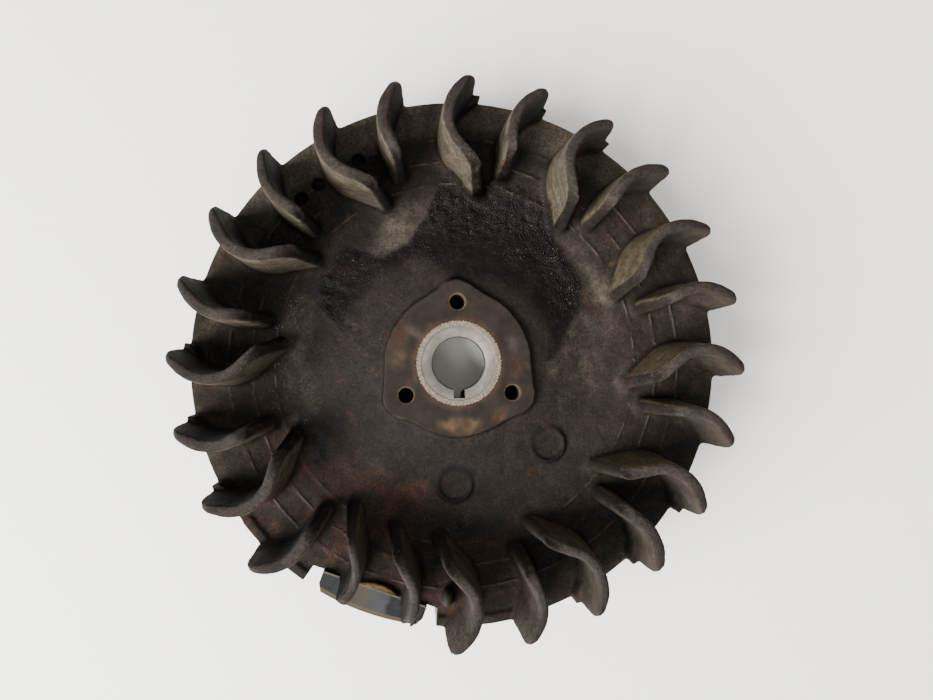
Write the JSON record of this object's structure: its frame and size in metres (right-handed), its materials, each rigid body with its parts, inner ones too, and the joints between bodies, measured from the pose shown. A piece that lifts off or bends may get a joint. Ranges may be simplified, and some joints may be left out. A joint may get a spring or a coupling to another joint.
{
  "type": "engine flywheel",
  "caption": "Cast-iron blower flywheel of a small engine: a ring of curved fins on a round disc, a keyed tapered bore, a three-hole starter pad and a magnet unit let into the rim.",
  "frame": {"origin": "on the crankshaft axis, in the plane of the rim's back face that the flywheel lies on", "axes": "+Z along the crankshaft axis towards the fins and the starter pad; the keyway is at -Y and the tapped hole opposite it at +Y"},
  "size_m": [0.23, 0.23, 0.065],
  "materials": {
    "iron": "as cast, oily and rusty, machined at the rim, pad and bore",
    "ferrite": "dark, ground",
    "lamination_steel": "stamped, lightly rusted at the edges",
    "plate_metal": "blue-grey, smooth",
    "rivet_metal": "filed flush",
    "backing_brass": "tarnished strip",
    "screw_steel": "dull, oiled"
  },
  "bodies": {
    "root": {"flywheel_casting": "iron", "magnet": "ferrite", "leading_pole_laminations": "lamination_steel", "trailing_pole_laminations": "lamination_steel", "front_end_plate": "plate_metal", "rear_end_plate": "plate_metal", "pole_rivets": "rivet_metal", "magnet_backing_strip": "backing_brass", "retaining_screws": "screw_steel"}
  },
  "joints": []
}
